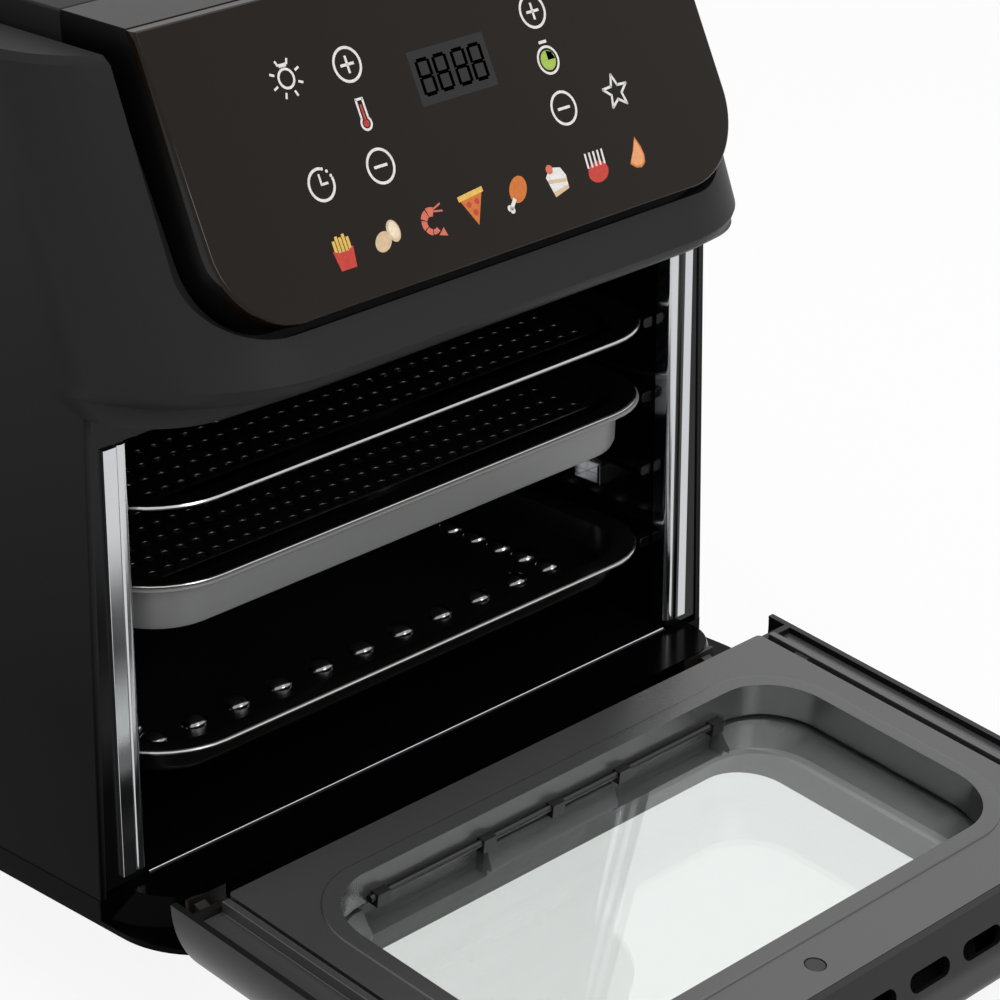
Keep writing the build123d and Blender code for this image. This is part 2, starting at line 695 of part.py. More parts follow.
def door_shell():
    """Outer shell: front skin, round sides, vented top wall, end wall at the hinge."""
    rise = top_rise / top_reach
    t = door_wall
    outer = door_profile([(1.2, 3.9), (door_thick, 10.2), (door_thick, crest_high),
                          (crest_depth, crest_high), (0.0, panel_high),
                          (0.0, panel_high - 4), (1.2, panel_high - 4)])
    front_top = outer.edges().filter_by(Axis.X).group_by(Axis.Z)[-1].sort_by(Axis.Y)[0]
    outer = fillet(front_top, 9.6)
    front_low = [e for e in outer.edges().filter_by(Axis.X)
                 if e.center().Y < face_y - 36 and e.center().Z < hinge_z + 12]
    outer = fillet(front_low, 4.0)
    outer &= door_round(0)
    roof = panel_high - 2.7
    inner = door_profile([(-5.0, 14.5), (door_thick - t, 14.5), (door_thick - t, crest_high - t),
                          (crest_depth, crest_high - t), (-5.0, roof - rise * 5.0)])
    inner_top = inner.edges().filter_by(Axis.X).group_by(Axis.Z)[-1].sort_by(Axis.Y)[0]
    inner = fillet(inner_top, 7.1)
    inner &= door_round(t)
    below = door_profile([(-5.0, -10.0), (door_thick - t, -10.0), (door_thick - t, 12.0),
                          (-5.0, 12.0)])
    shell = outer - inner - (below & door_round(t))
    shell -= door_block(-panel_half - 0.3, panel_half + 0.3, -5, 2.6, -10, 15)
    shell -= door_slab(117.5, 24.5, 149.5, 24.0, door_thick - t - 1, door_thick + 1)
    for x, height in door_screw_places():
        boss = door_plane_cylinder(x, height, 4.5, 2.5, door_thick - t)
        shell += boss & door_round(1.0)
        shell -= door_plane_cylinder(x, height, 1.6, 0, 15.0)
    shell += door_slab(62.4, 149.5, 174.8, 8, 18.2, door_thick) & outer
    shell -= door_slab(60, 151.4, 172.4, 6, 20.4, door_thick + 5)
    slope = math.atan(rise)
    slot = Plane(origin=(0, face_y - 12.5, hinge_z + panel_high + rise * 12.5),
                 x_dir=(1, 0, 0), z_dir=(0, math.sin(slope), math.cos(slope)))
    for i in range(-3, 4):
        shell -= extrude(slot * (Pos(28.3 * i, 0, -5) * SlotOverall(21, 7)), amount=10)
    return shell


def door_plane_cylinder(x, height, radius, near, far):
    """Cylinder square to the door's face."""
    at = Plane(origin=(x, face_y - near, hinge_z + height), x_dir=(1, 0, 0), z_dir=(0, -1, 0))
    return extrude(at * Circle(radius), amount=far - near)


def door_screw_places():
    """Screws along the free end of the inner frame."""
    return [(-98.0, 158.9), (-11.6, 158.9), (98.0, 158.9)]


def door_inner_frame():
    """Inner moulding: plate, raised bead round the window, well wall, turned edges."""
    plate = door_slab(panel_half, panel_low, frame_high, 2.0, 0, 2.5)
    bead = door_slab(window_half + 6.5, window_low - 6.5, window_high + 6.5,
                     window_radius + 6.5, -bead_height, 1.0)
    bead = fillet(bead.faces().sort_by(Axis.Y)[-1].edges(), bead_height - 0.05)
    well = door_slab(window_half + 2.2, window_low - 2.2, window_high + 2.2,
                     window_radius + 2.2, 0, 12.0)
    end = door_block(-panel_half + 4, panel_half - 4, 1.0, 12.0, 14.6, 16.6)
    frame = plate + bead + well + end
    for side in (-1, 1):
        edge = side * (panel_half - 1.1)
        frame += door_block(edge - 1.1, edge + 1.1, 1.0, 6.0, 18, frame_high - 3)
    frame -= door_slab(window_half, window_low, window_high, window_radius, -10, 20)
    for x, height in door_screw_places():
        frame -= door_plane_cylinder(x, height, 2.2, -2, 6)
        frame -= door_plane_cylinder(x, height, 3.8, -2, 1.3)
    return frame


def door_screws():
    """Screws that join the inner frame to the bosses of the shell."""
    group = None
    for x, height in door_screw_places():
        screw = door_plane_cylinder(x, height, 3.4, 1.3, 0.2)
        screw = door_plane_cylinder(x, height, 3.4, 0.2, 1.3)
        screw += door_plane_cylinder(x, height, 1.6, 1.3, 14.0)
        group = screw if group is None else group + screw
    return group


def glass_gasket():
    """Seal between the well wall, the inner glass and the chamber."""
    ring = door_slab(123.0, 21.8, 152.5, 16, 12.0, 16.0)
    ring -= door_slab(121.0, 24.0, 150.3, 14, 13.0, 17.0)
    ring -= door_slab(window_half + 0.6, window_low - 0.6, window_high + 0.6,
                      window_radius + 0.6, 11, 17)
    return ring


def inner_glass():
    """Inner pane."""
    return door_slab(121.0, 24.0, 150.3, 14, 13.0, 16.0)


def glass_retainer():
    """Wire rod with clips along the hinge side of the window."""
    axis_depth, height = 9.6, window_low + 1.6
    rod = Pos(-89, face_y - axis_depth, hinge_z + height) * Rot(0, 90, 0) * Cylinder(
        1.3, 178, align=(Align.CENTER, Align.CENTER, Align.MIN))
    for x in (-84, -34, 0, 34, 84):
        rod += door_block(x - 3, x + 3, 8.0, 13.0, window_low, window_low + 3.6)
    return rod


def window_surround():
    """Chamber wall between the panes: funnel, straight wall, two pockets."""
    def section(half, low, high, radius, depth):
        at = Plane(origin=(0, face_y - depth, hinge_z), x_dir=(1, 0, 0), z_dir=(0, -1, 0))
        return at * (Pos(0, (low + high) / 2) * RectangleRounded(2 * half, high - low, radius))

    low, high = window_low, window_high
    body = loft([section(117.2, low - 2.2, high + 2.2, 26, 16.0),
                 section(103.7, low + 1.6, high - 1.6, 22, 24.5)], ruled=True)
    body += door_slab(123.0, 21.8, 152.5, 16, 16.0, 18.0)
    body += door_slab(105.5, low - 0.4, high + 0.4, 20, 22.5, 35.0)
    body += door_slab(116.5, 25.4, 148.6, 22, 33.2, 35.0)
    for side in (-1, 1):
        body += door_block(side * 61 - 31, side * 61 + 31, 16.0, 29.0, 25.6, low + 3)
    funnel = loft([section(115.0, low, high, 24, 15.9),
                   section(101.5, low + 3.5, high - 3.5, 20, 22.5)], ruled=True)
    body -= funnel
    body -= door_slab(101.5, low + 3.5, high - 3.5, 20, 22.4, 24.5)
    body -= door_slab(103.5, low + 1.6, high - 1.6, 19, 24.5, 35.1)
    for side in (-1, 1):
        body -= door_block(side * 61 - 29, side * 61 + 29, 15.0, 27.0, 28.0, low + 9)
    return body


def outer_glass():
    """Outer pane, flush with the front skin."""
    return door_slab(117.3, 24.7, 149.3, 23.8, 35.0, door_thick)


def door_side_trim():
    """Right-hand ledge and rib beside the inner frame, with its small hook."""
    low, high = 14.6, frame_high
    trim = door_block(134.6, 137.6, -0.8, 8.0, low, high)
    trim += door_block(130.3, 137.6, 6.0, 8.0, low + 4, high - 4)
    trim += door_block(137.6, 150.0, 3.4, 5.4, low, high)
    trim += door_block(133.2, 134.6, 0.5, 4.0, 28.0, 34.0)
    return trim & door_round(door_wall)


def hinge_arm():
    """Right-hand steel arm from the end wall of the door down to the pin."""
    x0, x1 = 116.5, 123.0
    side = Plane(origin=(x0, 0, 0), x_dir=(0, 1, 0), z_dir=(1, 0, 0))
    profile = Pos(hinge_y, hinge_z) * Circle(arm_radius)
    profile += make_face(Polyline(
        (hinge_y - arm_radius, hinge_z), (hinge_y + arm_radius, hinge_z),
        (hinge_y + arm_radius, hinge_z + 12.0), (hinge_y - 8.7, hinge_z + 12.0),
        (hinge_y - arm_radius, hinge_z)))
    arm = extrude(side * profile, amount=x1 - x0)
    return arm - Pos(x0, hinge_y, hinge_z) * Rot(0, 90, 0) * Cylinder(pin_radius, 40)


def hinge_pins():
    """Two pins, each with a head on the inner side."""
    pin = Pos(115.0, hinge_y, hinge_z) * Rot(0, 90, 0) * Cylinder(
        pin_radius, 15.5, align=(Align.CENTER, Align.CENTER, Align.MIN))
    pin += Pos(114.0, hinge_y, hinge_z) * Rot(0, 90, 0) * Cylinder(
        4.0, 2.5, align=(Align.CENTER, Align.CENTER, Align.MIN))
    return pin + mirrored(pin)


def door_handle():
    """Grip bar across the upper half of the finger recess."""
    bar = door_slab(60.0, 167.0, 180.0, 2.4, 31.0, door_thick)
    return bar & door_slab(60.0, 151.4, 172.4, 6, 20.4, door_thick)


def door_magnet():
    """Magnet under the right ledge, opposite the sensor."""
    return door_plane_cylinder(142.0, 149.0, 2.8, 5.4, 8.4)


def build_all():
    """Collect every node; the door pieces are still closed here."""
    nodes["base_pan"] = base_pan()
    nodes["feet"] = feet()
    nodes["outer_housing"] = outer_housing()
    nodes["top_cover"] = top_cover()
    nodes["back_cover"] = back_cover()
    nodes["cover_screws"] = cover_screws()
    nodes["cord_gland"] = cord_gland()
    nodes["control_frame"] = control_frame()
    nodes["control_glass"] = control_glass()
    nodes["display_module"] = display_module()
    nodes["touch_board"] = touch_board()
    nodes["power_board"] = power_board()
    nodes["cavity_liner"] = cavity_liner()
    nodes["front_frame"] = front_frame()
    strip = chrome_strip()
    nodes["chrome_strip_right"] = strip
    nodes["chrome_strip_left"] = mirrored(strip)
    nodes["wall_bracket"] = wall_bracket()
    nodes["heater_coil"] = heater_coil()
    nodes["fan_guard"] = fan_guard()
    nodes["fan_motor"] = fan_motor()
    nodes["fan_shaft"] = fan_shaft()
    nodes["fan_impeller"] = fan_impeller()
    nodes["cooling_fan"] = cooling_fan()
    nodes["lamp_holder"] = lamp_holder()
    nodes["lamp_lens"] = lamp_lens()
    nodes["thermostat_probe"] = thermostat_probe()
    nodes["door_sensor"] = door_sensor()
    bracket = hinge_bracket()
    nodes["hinge_bracket_right"] = bracket
    nodes["hinge_bracket_left"] = mirrored(bracket)
    nodes["hinge_cover"] = hinge_cover()
    nodes["upper_rack"] = upper_rack()
    nodes["middle_rack"] = middle_rack()
    nodes["deep_pan"] = deep_pan()
    nodes["drip_tray"] = drip_tray()


def build_door():
    """Door pieces, swung open about the hinge axis."""
    trim = door_side_trim()
    arm = hinge_arm()
    closed = {
        "door_shell": door_shell(),
        "door_inner_frame": door_inner_frame(),
        "door_screws": door_screws(),
        "glass_gasket": glass_gasket(),
        "inner_glass": inner_glass(),
        "glass_retainer": glass_retainer(),
        "window_surround": window_surround(),
        "outer_glass": outer_glass(),
        "door_side_trim_right": trim,
        "door_side_trim_left": mirrored(trim),
        "hinge_arm_right": arm,
        "hinge_arm_left": mirrored(arm),
        "hinge_pins": hinge_pins(),
        "door_handle": door_handle(),
        "door_magnet": door_magnet(),
    }
    hinge = Axis((0, hinge_y, hinge_z), (1, 0, 0))
    for name, shape in closed.items():
        nodes[name] = shape.rotate(hinge, open_angle)


os.makedirs("parts", exist_ok=True)
build_all()
build_door()
for name, shape in nodes.items():
    export_step(Pos(0, origin_shift, 0) * shape, f"parts/{name}.step")
print("origin shift", round(origin_shift, 3))
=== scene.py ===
import bpy
import bmesh
import json
import math
import numpy as np
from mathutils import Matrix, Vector

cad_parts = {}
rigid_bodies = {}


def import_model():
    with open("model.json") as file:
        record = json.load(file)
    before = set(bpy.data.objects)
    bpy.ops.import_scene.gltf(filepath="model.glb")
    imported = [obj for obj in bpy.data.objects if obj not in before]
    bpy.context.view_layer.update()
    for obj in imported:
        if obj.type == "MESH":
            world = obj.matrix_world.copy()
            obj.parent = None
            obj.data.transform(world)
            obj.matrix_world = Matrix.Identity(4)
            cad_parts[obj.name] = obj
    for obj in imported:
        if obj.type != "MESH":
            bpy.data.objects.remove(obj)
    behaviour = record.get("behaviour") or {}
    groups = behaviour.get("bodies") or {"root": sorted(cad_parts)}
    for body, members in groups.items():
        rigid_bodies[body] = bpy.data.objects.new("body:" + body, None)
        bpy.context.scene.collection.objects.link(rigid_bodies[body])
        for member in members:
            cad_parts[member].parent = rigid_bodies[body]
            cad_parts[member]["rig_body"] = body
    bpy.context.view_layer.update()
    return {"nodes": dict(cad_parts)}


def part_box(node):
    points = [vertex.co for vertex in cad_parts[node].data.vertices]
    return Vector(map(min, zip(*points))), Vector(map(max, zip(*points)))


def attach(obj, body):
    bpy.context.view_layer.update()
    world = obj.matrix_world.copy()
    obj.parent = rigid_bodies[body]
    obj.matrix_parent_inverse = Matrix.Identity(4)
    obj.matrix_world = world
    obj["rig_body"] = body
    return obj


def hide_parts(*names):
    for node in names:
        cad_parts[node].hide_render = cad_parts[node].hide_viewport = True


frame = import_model()

# Camera
# It stands where the photograph was taken from: in front of the oven, to its left and above.
# Its place counts from the oven's back panel and top plate, which the solids give.
left_of_middle = 0.7763
ahead_of_back = 1.0417
above_top = 0.2967
look_along = Vector((0.6572, 0.6363, -0.4040))
camera_data = bpy.data.cameras.new("camera")
camera_data.lens = 125.9
camera_data.sensor_width = 36.0
camera_data.clip_start = 0.05
camera = bpy.data.objects.new("camera", camera_data)
bpy.context.scene.collection.objects.link(camera)
camera.location = (-left_of_middle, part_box("back_cover")[1].y - ahead_of_back,
                   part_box("top_cover")[1].z + above_top)
camera.rotation_mode = "QUATERNION"
camera.rotation_quaternion = look_along.to_track_quat("-Z", "Y")
bpy.context.scene.camera = camera
bpy.context.scene.view_settings.view_transform = "Standard"


# Floor and studio light
# A pale seamless floor under a pale sky, a wide soft lamp above and a smaller one in front.
# The floor stays white to the eye, in gloss and through glass, and keeps a soft shadow.
class Wire:
    """A shader socket; sums and products of wires add the Math nodes they need."""

    def __init__(self, paint, socket):
        self.paint = paint
        self.socket = socket

    def _math(self, operation, *values):
        return self.paint.add("ShaderNodeMath", {"operation": operation},
                              dict(enumerate(values)))

    def __add__(self, other):
        return self._math("ADD", self, other)

    def __sub__(self, other):
        return self._math("SUBTRACT", self, other)

    def __rsub__(self, other):
        return self._math("SUBTRACT", other, self)

    def __mul__(self, other):
        return self._math("MULTIPLY", self, other)

    def __truediv__(self, other):
        return self._math("DIVIDE", self, other)

    __radd__ = __add__
    __rmul__ = __mul__

    def least(self, other):
        return self._math("MINIMUM", self, other)

    def most(self, other):
        return self._math("MAXIMUM", self, other)

    def clamp(self):
        """Held between nought and one."""
        return self.most(0.0).least(1.0)


class Paint:
    """A material under construction."""

    def __init__(self, name, **base):
        self.material = bpy.data.materials.new(name)
        self.material.use_nodes = True
        self.tree = self.material.node_tree
        self.shader = self.tree.nodes["Principled BSDF"]
        self.feed(**base)

    def put(self, node, key, value):
        """A link for a wire; a short colour is filled up with ones, such as a missing alpha."""
        socket = node.inputs[key]
        if isinstance(value, Wire):
            self.tree.links.new(value.socket, socket)
        elif hasattr(socket.default_value, "__len__"):
            value = list(value)
            socket.default_value = value + [1.0] * (len(socket.default_value) - len(value))
        else:
            socket.default_value = value

    def add(self, kind, settings=None, inputs=None, output=0):
        """Any node: its settings are made first, then its sockets get values or links."""
        node = self.tree.nodes.new(kind)
        for key, value in (settings or {}).items():
            if key == "ramp":
                stops = node.color_ramp.elements
                while len(stops) < len(value):
                    stops.new(0.5)
                for stop, (place, colour) in zip(stops, value):
                    stop.position = place
                    stop.color = list(colour) + [1.0] * (4 - len(colour))
            else:
                setattr(node, key, value)
        for key, value in (inputs or {}).items():
            self.put(node, key, value)
        return Wire(self, node.outputs[output])

    def feed(self, **inputs):
        """Inputs of the Principled shader, by their names with low lines for the spaces."""
        for key, value in inputs.items():
            self.put(self.shader, key.replace("_", " "), value)
        return self

    def across(self):
        """Distance to the left or right of the oven's middle, in metres."""
        spot = self.add("ShaderNodeTexCoord", output="Object")
        x = self.add("ShaderNodeSeparateXYZ", {}, {0: spot})
        return x.most(x * -1.0)

    def noise(self, scale, detail=2.0):
        """Soft noise round a half; the scale is in blotches a metre."""
        spot = self.add("ShaderNodeTexCoord", output="Object")
        return self.add("ShaderNodeTexNoise", {},
                        {"Vector": spot, "Scale": scale, "Detail": detail})

    def ramp(self, amount, stops):
        """A colour from a wire, through (place, colour) stops."""
        return self.add("ShaderNodeValToRGB", {"ramp": stops}, {0: amount})

    def bumped(self, height, depth):
        """A normal from a height wire; depth is the height of one unit in metres."""
        return self.add("ShaderNodeBump", {}, {"Height": height, "Strength": 1.0,
                                               "Distance": depth})


def new_piece(name, points, faces):
    """A mesh object in the scene, from rows of points and lists of point numbers."""
    mesh = bpy.data.meshes.new(name)
    mesh.from_pydata(np.asarray(points, float).tolist(), [], faces)
    piece = bpy.data.objects.new(name, mesh)
    bpy.context.scene.collection.objects.link(piece)
    return piece


floor_half = 6.0
floor_paint = Paint("floor_white")
to_camera = floor_paint.add("ShaderNodeLightPath", output="Is Camera Ray")
light_path = to_camera.socket.node
in_gloss = Wire(floor_paint, light_path.outputs["Is Glossy Ray"])
through_glass = Wire(floor_paint, light_path.outputs["Is Transmission Ray"])
to_eye = to_camera.most(in_gloss).most(through_glass)
matt = floor_paint.add("ShaderNodeBsdfDiffuse", {}, {"Color": (0.9, 0.9, 0.9)})
bright = floor_paint.add("ShaderNodeEmission", {}, {"Color": (1, 1, 1), "Strength": 1.0})
blend = floor_paint.add("ShaderNodeMixShader", {}, {0: to_eye * 0.9, 1: matt, 2: bright})
floor_end = floor_paint.tree.nodes["Material Output"]
floor_paint.tree.links.new(blend.socket, floor_end.inputs["Surface"])
floor = new_piece("floor", [(-floor_half, -floor_half, 0), (floor_half, -floor_half, 0),
                            (floor_half, floor_half, 0), (-floor_half, floor_half, 0)],
                  [(0, 1, 2, 3)])
floor.data.materials.append(floor_paint.material)

sky_light = 0.55
sky_seen_extra = 0.45
world = bpy.data.worlds.new("studio")
bpy.context.scene.world = world
world.use_nodes = True
sky = world.node_tree
sky_end = sky.nodes["Background"]
sky_end.inputs["Color"].default_value = (1, 1, 1, 1)
sky_path = sky.nodes.new("ShaderNodeLightPath")
sky_seen = sky_path.outputs["Is Camera Ray"]
for ray in ("Is Glossy Ray", "Is Transmission Ray"):
    either = sky.nodes.new("ShaderNodeMath")
    either.operation = "MAXIMUM"
    sky.links.new(sky_seen, either.inputs[0])
    sky.links.new(sky_path.outputs[ray], either.inputs[1])
    sky_seen = either.outputs[0]
sky_level = sky.nodes.new("ShaderNodeMath")
sky_level.operation = "MULTIPLY_ADD"
sky.links.new(sky_seen, sky_level.inputs[0])
sky_level.inputs[1].default_value = sky_seen_extra
sky_level.inputs[2].default_value = sky_light
sky.links.new(sky_level.outputs[0], sky_end.inputs["Strength"])


def soft_lamp(name, place, aim, size, power):
    """A square area lamp that looks at a point."""
    data = bpy.data.lights.new(name, "AREA")
    data.size = size
    data.energy = power
    lamp = bpy.data.objects.new(name, data)
    bpy.context.scene.collection.objects.link(lamp)
    lamp.location = place
    lamp.rotation_mode = "QUATERNION"
    lamp.rotation_quaternion = (Vector(aim) - Vector(place)).to_track_quat("-Z", "Y")


soft_lamp("top_lamp", place=(0.3, -0.2, 1.8), aim=(0, 0, 0.2), size=1.6, power=14)
soft_lamp("front_lamp", place=(0.1, -2.3, 1.3), aim=(0, 0, 0.25), size=0.9, power=16)


# Base
# One glossy black moulding: a skirt under the sides, and a pedestal with a flared lip in front of
# the cavity. The rest of the oven is screwed down onto it.
def finish(piece, paint, corner):
    """One material, and shading that is smooth except over edges sharper than the corner."""
    mesh = piece.data
    shape = bmesh.new()
    shape.from_mesh(mesh)
    for edge in shape.edges:
        edge.smooth = edge.calc_face_angle(0.0) < math.radians(corner)
    for face in shape.faces:
        face.smooth = True
    shape.to_mesh(mesh)
    shape.free()
    mesh.materials.clear()
    mesh.materials.append(paint.material)


touching = 2e-6


def smooth_copy(node, name, paint, round_off=0.0004):
    """A merged copy of a solid with eased edges: doubles joined, flat facets dissolved."""
    flat_within = math.radians(0.6)
    corner = 32
    solid = frame["nodes"][node]
    mesh = solid.data.copy()
    mesh.name = name
    piece = bpy.data.objects.new(name, mesh)
    bpy.context.scene.collection.objects.link(piece)
    shape = bmesh.new()
    shape.from_mesh(mesh)
    bmesh.ops.remove_doubles(shape, verts=shape.verts, dist=touching)
    bmesh.ops.dissolve_limit(shape, angle_limit=flat_within, verts=shape.verts,
                             edges=shape.edges)
    shape.to_mesh(mesh)
    shape.free()
    finish(piece, paint, corner)
    if round_off:
        ease = piece.modifiers.new("ease", "BEVEL")
        ease.width = round_off
        ease.segments = 2
        ease.limit_method = "ANGLE"
        ease.angle_limit = math.radians(corner)
        ease.harden_normals = True
        ease.use_clamp_overlap = True
    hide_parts(node)
    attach(piece, solid["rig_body"])


def moulded(name, colour, rough, sheen, grain=0.00002, scale=900.0):
    """Moulded plastic: fine grain in the bump and slow changes of gloss."""
    paint = Paint(name, Base_Color=colour, Specular_IOR_Level=sheen)
    fine = paint.noise(scale)
    slow = paint.noise(9.0, 3.0)
    return paint.feed(Roughness=rough + (slow - 0.5) * 0.05, Normal=paint.bumped(fine, grain))


base_black = moulded("base_black", (0.0012, 0.0012, 0.0012), 0.16, 0.03, grain=0.000004)
smooth_copy("base_pan", "base_moulding", base_black)

# Feet
# Four tapered feet of dark rubber with rounded soles stand under the corners of the base. They
# are moulded, and are pushed into the base from below.
foot_rubber = moulded("foot_rubber", (0.012, 0.012, 0.012), 0.7, 0.25, grain=0.00004,
                      scale=500.0)
smooth_copy("feet", "rubber_feet", foot_rubber)

# Housing
# The two sides, the hood over the door and the arms beside the controls are one satin black
# moulding. Its outer sides are painted a deeper black than its front, as in the photograph:
# painted shade on the sides and painted light on the front.
housing_black = moulded("housing_black", (0.02, 0.02, 0.02), 0.42, 0.045)
shaded_side_starts = 0.1485
side_shade_fade = 0.004
# Painted shade and light: a colour ramp across the width darkens the outer sides and lightens the
# front.
lit_front_share = ((shaded_side_starts - housing_black.across()) / side_shade_fade).clamp()
housing_black.feed(Base_Color=housing_black.ramp(lit_front_share, [(0.0, (0.0012, 0.0012, 0.0012)),
                                                               (1.0, (0.024, 0.024, 0.024))]))
smooth_copy("outer_housing", "housing_moulding", housing_black, 0.0008)

# Top plate
# A flat plastic plate closes the top behind the controls, between the two arms of the housing.
# It stands a little proud of them, so a thin seam shows all round.
smooth_copy("top_cover", "top_plate", housing_black)

# Back panel
# A plastic panel closes the back, with slots for the air near its top and its foot. Six plated
# screws hold it, and a glossy bush lines the hole that the lead leaves by.
smooth_copy("back_cover", "back_panel", housing_black, 0.0003)
screw_steel = Paint("screw_steel", Base_Color=(0.25, 0.25, 0.26), Metallic=1.0)
screw_steel.feed(Roughness=0.3 + screw_steel.noise(300.0) * 0.15)
smooth_copy("cover_screws", "back_screws", screw_steel, 0.0002)
smooth_copy("cord_gland", "inlet_bush", base_black, 0.0003)

# Control block and touch glass
# A raised black plastic block carries a touch glass with round lower corners. The glass is
# tinted dark, glued on, and smooth enough to mirror the room.
block_black = moulded("block_black", (0.003, 0.003, 0.003), 0.3, 0.12)
smooth_copy("control_frame", "control_block", block_black)
tinted = Paint("tinted_glass", Base_Color=(0.0065, 0.0035, 0.0014), Specular_IOR_Level=0.19)
tinted.feed(Roughness=0.05 + tinted.noise(14.0, 3.0) * 0.03)
smooth_copy("control_glass", "touch_glass", tinted, 0.0)

# Display and circuit boards
# A smoked block with four digits stands on the green board of the touch keys, behind the glass.
# The mains board stands on four posts inside the housing.
board_green = Paint("board_green", Specular_IOR_Level=0.4)
board_mottle = board_green.ramp(board_green.noise(160.0), [(0.45, (0.006, 0.05, 0.02)),
                                                           (0.6, (0.012, 0.09, 0.04))])
board_green.feed(Base_Color=board_mottle, Roughness=0.5)
smooth_copy("display_module", "display_block", block_black, 0.0)
smooth_copy("touch_board", "touch_board_copy", board_green, 0.0)
smooth_copy("power_board", "power_board_copy", board_green, 0.0)

# Printed symbols
# The signs of the keys and of eight foods are printed in white and coloured inks behind the
# glass. A slightly paler window shows the four digits of the display, unlit.
panel_slope = 0.4835
panel_along = np.array([1.0, 0.0, 0.0])
panel_up = np.array([0.0, panel_slope, 1.0]) / math.hypot(panel_slope, 1.0)
panel_out = np.array([0.0, -panel_up[2], panel_up[1]])
glass_low, glass_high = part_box("control_glass")
glass_thick = 0.0039
glass_start = 0.001
foot_z = glass_low.z + glass_thick * panel_out[2] - glass_start * panel_up[2]
foot_y = glass_high.y - panel_slope * (glass_high.z - foot_z) - glass_thick / panel_up[2]
glass_foot = np.array([0.0, foot_y, foot_z])
ink_lift = 0.00003
layer_lift = 0.00001


def spoke(degrees):
    """The cosine and sine of one angle or many, side by side."""
    turn = np.radians(degrees)
    return np.stack([np.cos(turn), np.sin(turn)], axis=-1)


def ink(name, colour, shine=0.3):
    """Printed ink under glass: a little uneven, with the shine of the pane."""
    paint = Paint(name, Roughness=0.25, Specular_IOR_Level=shine)
    dim = [part * 0.82 for part in colour]
    return paint.feed(Base_Color=paint.ramp(paint.noise(700.0), [(0.3, dim), (0.7, colour)]))


inks = {
    "white": ink("ink_white", (0.78, 0.76, 0.74)),
    "red": ink("ink_red", (0.55, 0.05, 0.035)),
    "yellow": ink("ink_yellow", (0.75, 0.48, 0.10)),
    "beige": ink("ink_beige", (0.68, 0.50, 0.32)),
    "orange": ink("ink_orange", (0.62, 0.17, 0.03)),
    "coral": ink("ink_coral", (0.66, 0.16, 0.10)),
    "green": ink("ink_green", (0.36, 0.52, 0.09)),
    "black": ink("ink_black", (0.0, 0.0, 0.0), 0.0),
    "window": ink("ink_window", (0.012, 0.011, 0.011)),
    "peach": ink("ink_peach", (0.79, 0.35, 0.15)),
    "cream": ink("ink_cream", (0.86, 0.72, 0.52)),
}


class Print:
    """Flat printed shapes in one mesh, in millimetres along and up the sloping glass."""

    def __init__(self):
        self.points = []
        self.faces = []
        self.inks = []

    def lay(self, shapes, colour, layer):
        """Filled shapes with equally many points; a higher layer lies a hair above a lower one.

        A point is the foot of the glass, plus its way along the foot, plus its way up the
        slope, plus the lift of its layer off the face.
        """
        along, up = np.split(np.asarray(shapes, float) / 1000, 2, axis=-1)
        lift = ink_lift + layer_lift * layer
        spots = glass_foot + along * panel_along + up * panel_up + lift * panel_out
        count, corners = spots.shape[:2]
        numbers = len(self.points) + np.arange(count * corners).reshape(count, corners)
        self.points += spots.reshape(-1, 3).tolist()
        self.faces += numbers.tolist()
        self.inks += [list(inks).index(colour)] * count

    def fill(self, outline, colour, layer=0):
        self.lay([outline], colour, layer)

    def disc(self, at, radius, colour, squash=1.0, tilt=0.0, layer=0):
        """An ellipse of 24 sides, squashed across its long axis, which is tilted by degrees."""
        rim = radius * spoke(15 * np.arange(24))
        self.fill(at + rim[:, :1] * spoke(tilt) + squash * rim[:, 1:] * spoke(tilt + 90),
                  colour, layer)

    def arc(self, at, radius, width, colour, start=0.0, end=360.0):
        """Part of a ring between two angles in degrees: four quads or more, of about 12."""
        steps = max(4, int(abs(end - start) / 12))
        rim = spoke(start + (end - start) * np.arange(steps + 1) / steps)
        outer = at + radius * rim
        inner = at + (radius - width) * rim
        self.lay(np.stack([outer[:-1], outer[1:], inner[1:], inner[:-1]], axis=1), colour, 0)

    def stroke(self, path, width, colour, layer=0):
        """A line of even width through some points: a quad a run, a little past its ends."""
        overlap = 0.6
        path = np.asarray(path, float)
        begin, end = path[:-1], path[1:]
        run = end - begin
        run *= width / 2 / np.linalg.norm(run, axis=1)[:, None]
        side = np.column_stack([-run[:, 1], run[:, 0]])
        begin = begin - overlap * run
        end = end + overlap * run
        self.lay(np.stack([begin + side, begin - side, end - side, end + side], axis=1),
                 colour, layer)


def draw_fries(at):
    """A red box with five sticks of uneven height."""
    for i, high in enumerate((4.2, 5.4, 4.8, 5.6, 4.4)):
        left = 1.5 * i - 3.6
        right = left + 1.2
        panel_print.fill(at + [(left, -1), (right, -1), (right, high), (left, high)], "yellow")
    panel_print.fill(at + [(-4.4, 1.2), (-3.3, -5.6), (3.3, -5.6), (4.4, 1.2), (2.0, 0.1),
                           (-2.0, 0.1)], "red", 1)


def draw_eggs(at):
    """Two eggs, the front one with a paler side."""
    panel_print.disc(at + (-2.6, -0.9), 3.9, "beige", 0.76, 30)
    panel_print.disc(at + (2.7, 1.4), 3.7, "beige", 0.74, 100, 1)
    panel_print.disc(at + (2.9, 1.6), 2.9, "cream", 0.7, 100, 2)


def draw_shrimp(at):
    """A curled body in five plates, each a little smaller, with a tail fan and two feelers."""
    for i in range(5):
        start = 60 + 50 * i
        panel_print.arc(at, 5.0 - 0.25 * i, 3.1 - 0.35 * i, "coral", start, start + 44)
    panel_print.fill(at + [(1.2, -4.6), (4.8, -5.6), (4.0, -2.6)], "coral", 1)
    panel_print.stroke(at + [(2.2, 4.0), (5.4, 5.0)], 0.6, "coral")
    panel_print.stroke(at + [(2.2, 3.2), (5.6, 2.6)], 0.6, "coral")


